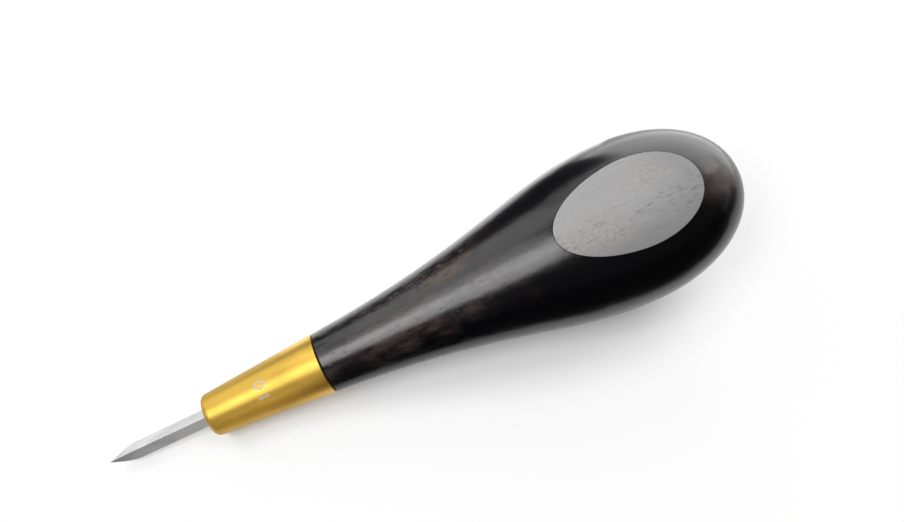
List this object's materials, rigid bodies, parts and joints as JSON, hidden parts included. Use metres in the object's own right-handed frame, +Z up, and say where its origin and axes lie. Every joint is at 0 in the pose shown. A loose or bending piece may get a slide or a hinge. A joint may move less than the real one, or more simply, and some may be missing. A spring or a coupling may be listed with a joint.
{
  "type": "stitching awl",
  "caption": "Short stitching awl: pear-shaped dark wood handle with oval flats, tapered brass ferrule and a fixed diamond-section blade with a lance point.",
  "frame": {"origin": "centre of the part's outline seen from above, on the bench that it lies on", "axes": "+X level along the tool from the blade's tip to the butt, +Y across it, +Z up; the tool lies as it comes to rest, on the ferrule's nose and the front edge of its lower flat, so its axis dips 7.9 degrees towards the tip"},
  "size_m": [0.1016, 0.0244, 0.0236],
  "materials": {
    "ebony": "near-black close-grained wood with dark brown streaks, waxed and polished, with two matte sanded flats",
    "brass": "fine-turned satin brass",
    "blade_steel": "ground tool steel with fine lines along the facets",
    "epoxy": "cured dark resin"
  },
  "bodies": {
    "root": {"handle": "ebony", "ferrule": "brass", "blade": "blade_steel", "tang_epoxy": "epoxy"}
  },
  "joints": []
}
